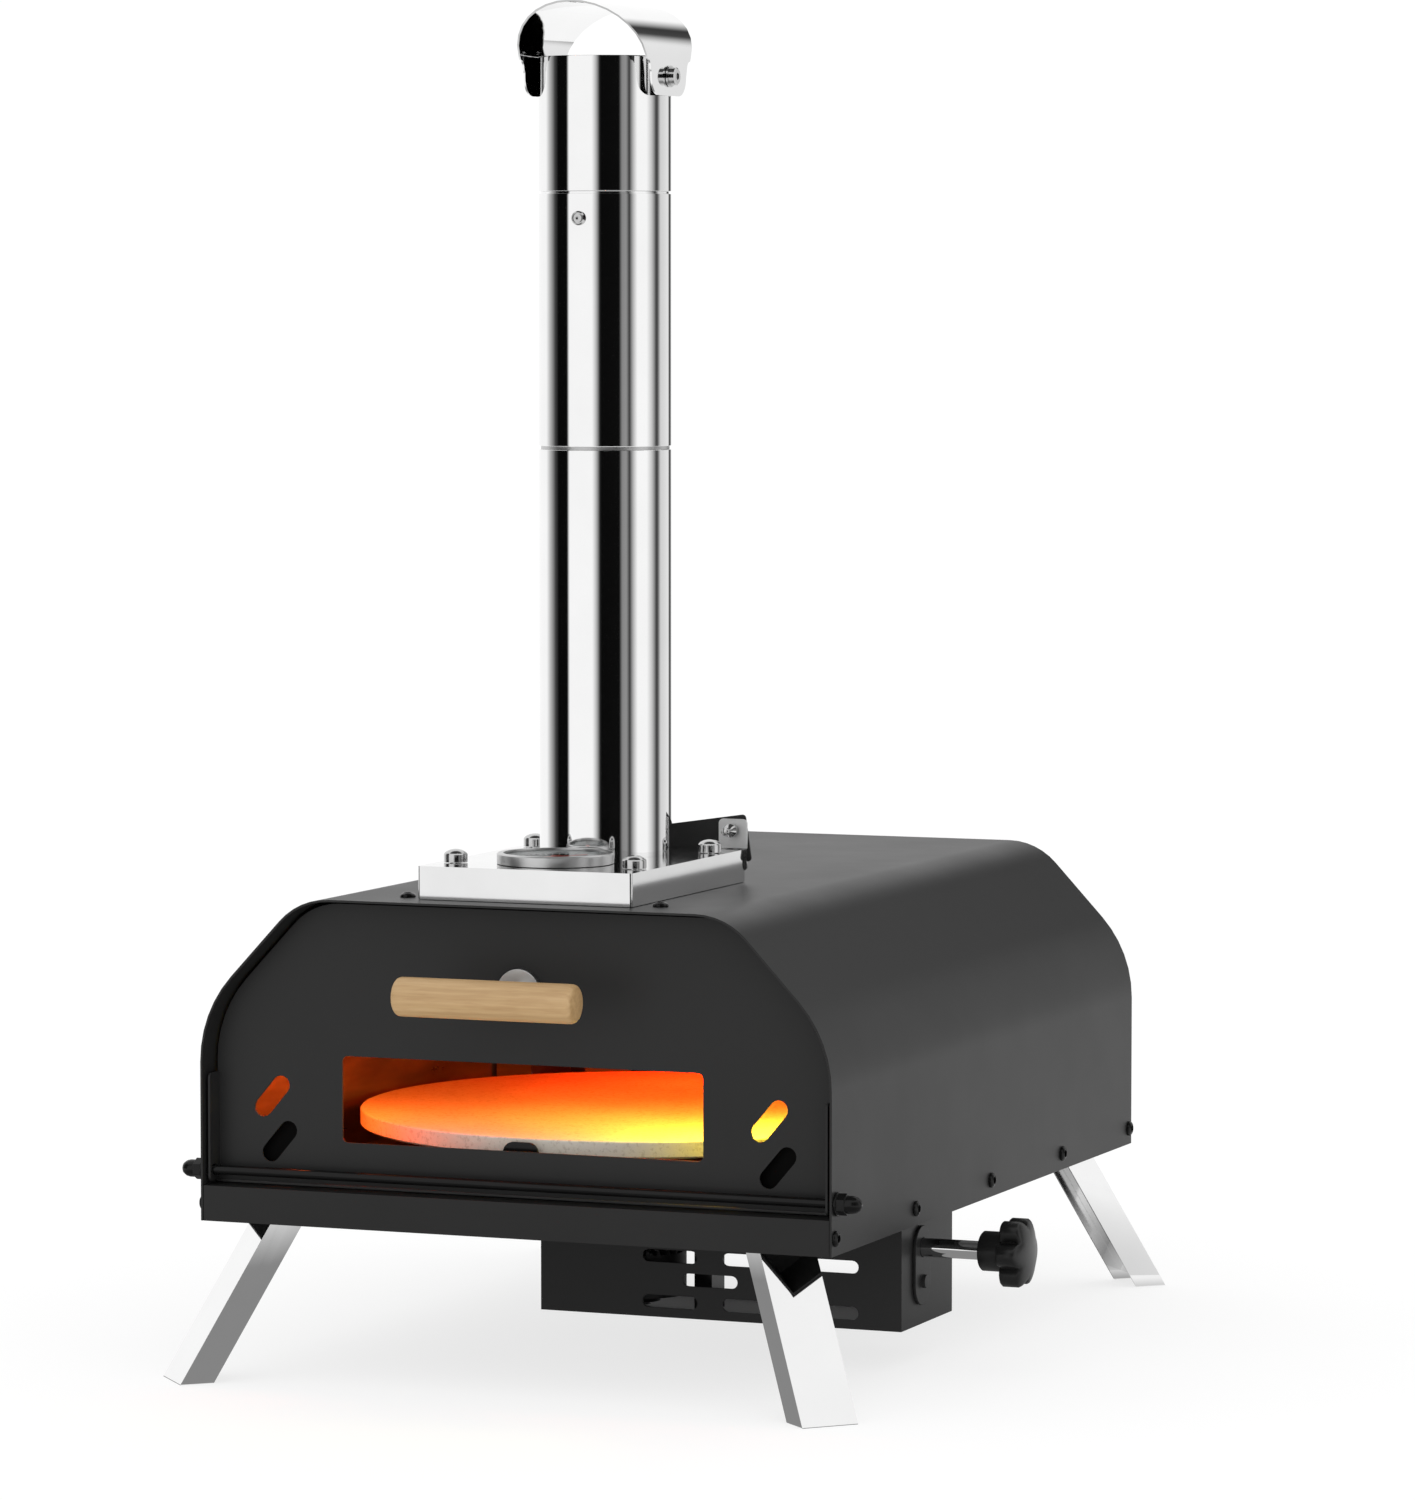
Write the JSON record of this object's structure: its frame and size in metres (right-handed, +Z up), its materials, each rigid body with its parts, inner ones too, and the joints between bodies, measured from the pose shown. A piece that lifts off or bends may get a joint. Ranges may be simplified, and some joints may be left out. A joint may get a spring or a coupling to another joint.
{
  "type": "wood fired pizza oven",
  "caption": "Portable wood fired pizza oven with folding legs, drop-down window door, tall chimney with rain cap and a stone turned by a side knob.",
  "frame": {"origin": "centre of the whole object's footprint, on the ground under the feet", "axes": "+Z up; the door faces -Y; the turning knob is on the +X side"},
  "size_m": [0.414, 0.5458, 0.7132],
  "materials": {
    "black_paint": "satin heat-resistant powder coat",
    "polished_stainless": "mirror-polished stainless steel",
    "steel": "plain stainless steel, lightly brushed",
    "sooty_steel": "steel darkened by heat and soot",
    "cast_iron": "raw casting",
    "handle_wood": "turned hardwood, oiled",
    "black_oxide": "black oxide",
    "dial_face": "matte dial with plain ticks",
    "needle_red": "matte",
    "clear_glass": "clear",
    "cordierite": "fired cordierite ceramic, opaque, matte and slightly porous",
    "knob_plastic": "moulded black plastic"
  },
  "bodies": {
    "oven": {"outer_shell": "black_paint", "base_pan": "black_paint", "hearth_plate": "steel", "fire_liner": "sooty_steel", "front_frame": "black_paint", "back_panel": "black_paint", "flame_baffle": "sooty_steel", "chimney_plinth": "polished_stainless", "plinth_screw_front_left": "steel", "plinth_screw_front_right": "steel", "plinth_screw_rear_left": "steel", "plinth_screw_rear_right": "steel", "flap_pin": "steel", "pipe_lower": "polished_stainless", "pipe_upper": "polished_stainless", "pipe_coupler": "steel", "pipe_top": "polished_stainless", "pipe_rivet": "steel", "cap_bolt_left": "steel", "cap_bolt_right": "steel", "gauge_case": "polished_stainless", "gauge_dial": "dial_face", "gauge_glass": "clear_glass", "door_catch": "black_oxide", "hinge_rod": "black_oxide", "cap_nut_left": "black_oxide", "cap_nut_right": "black_oxide", "leg_bracket_front_left": "black_oxide", "leg_pin_front_left": "steel", "leg_bracket_front_right": "black_oxide", "leg_pin_front_right": "steel", "leg_bracket_rear_left": "black_oxide", "leg_pin_rear_left": "steel", "leg_bracket_rear_right": "black_oxide", "leg_pin_rear_right": "steel", "gear_housing": "black_paint", "bearing_plate": "black_oxide", "inner_bearing": "black_oxide", "spindle_bush": "steel"},
    "door": {"door_panel": "black_paint", "handle_disc": "polished_stainless", "handle_post": "steel", "wood_handle": "handle_wood"},
    "turntable": {"crown_wheel": "cast_iron", "turntable_spindle": "steel", "stone_carrier": "steel", "pizza_stone": "cordierite"},
    "drive": {"drive_shaft": "polished_stainless", "drive_pinion": "cast_iron", "star_knob": "knob_plastic"},
    "cap": {"rain_cap": "polished_stainless"},
    "needle": {"gauge_needle": "needle_red"},
    "flap": {"draught_flap": "black_paint"},
    "fuel_drawer": {"fuel_tray": "black_paint", "fuel_grate": "cast_iron", "tray_knob": "handle_wood"},
    "front_left_leg": {"leg_front_left": "polished_stainless"},
    "front_right_leg": {"leg_front_right": "polished_stainless"},
    "rear_left_leg": {"leg_rear_left": "polished_stainless"},
    "rear_right_leg": {"leg_rear_right": "polished_stainless"}
  },
  "joints": [
    {"name": "door_hinge", "type": "hinge", "parent": "oven", "child": "door", "pos_m": [-0.01367, -0.22677, 0.1077], "axis": [1, 0, 0], "range_deg": [0, 100]},
    {"name": "stone_spin", "type": "hinge", "parent": "oven", "child": "turntable", "pos_m": [-0.01367, -0.05877, 0.0815], "axis": [0, 0, 1], "continuous": true},
    {"name": "knob_spin", "type": "hinge", "parent": "oven", "child": "drive", "pos_m": [-0.01367, -0.05877, 0.0622], "axis": [1, 0, 0], "continuous": true},
    {"name": "cap_tilt", "type": "hinge", "parent": "oven", "child": "cap", "pos_m": [-0.01367, -0.10777, 0.6747], "axis": [1, 0, 0], "range_deg": [-25, 25]},
    {"name": "needle_turn", "type": "hinge", "parent": "oven", "child": "needle", "pos_m": [-0.01367, -0.17457, 0.2715], "axis": [0, 0, 1], "range_deg": [-107, 163]},
    {"name": "flap_swing", "type": "hinge", "parent": "oven", "child": "flap", "pos_m": [0.03934, -0.05847, 0.2789], "axis": [0, 1, 0], "range_deg": [0, 25]},
    {"name": "drawer_slide", "type": "slide", "parent": "oven", "child": "fuel_drawer", "axis": [0, 1, 0], "range_m": [0, 0.085]},
    {"name": "front_left_leg_fold", "type": "hinge", "parent": "oven", "child": "front_left_leg", "pos_m": [-0.15377, -0.21426, 0.0855], "axis": [0.682, -0.7314, 0], "range_deg": [0, 121]},
    {"name": "front_right_leg_fold", "type": "hinge", "parent": "oven", "child": "front_right_leg", "pos_m": [0.12644, -0.21426, 0.0855], "axis": [0.682, 0.7314, 0], "range_deg": [0, 121]},
    {"name": "rear_left_leg_fold", "type": "hinge", "parent": "oven", "child": "rear_left_leg", "pos_m": [-0.15377, 0.22172, 0.0855], "axis": [-0.682, -0.7314, 0], "range_deg": [0, 121]},
    {"name": "rear_right_leg_fold", "type": "hinge", "parent": "oven", "child": "rear_right_leg", "pos_m": [0.12644, 0.22172, 0.0855], "axis": [-0.682, 0.7314, 0], "range_deg": [0, 121]}
  ],
  "couplings": [
    {"joint": "knob_spin", "follows": "stone_spin", "ratio": 2.4}
  ]
}
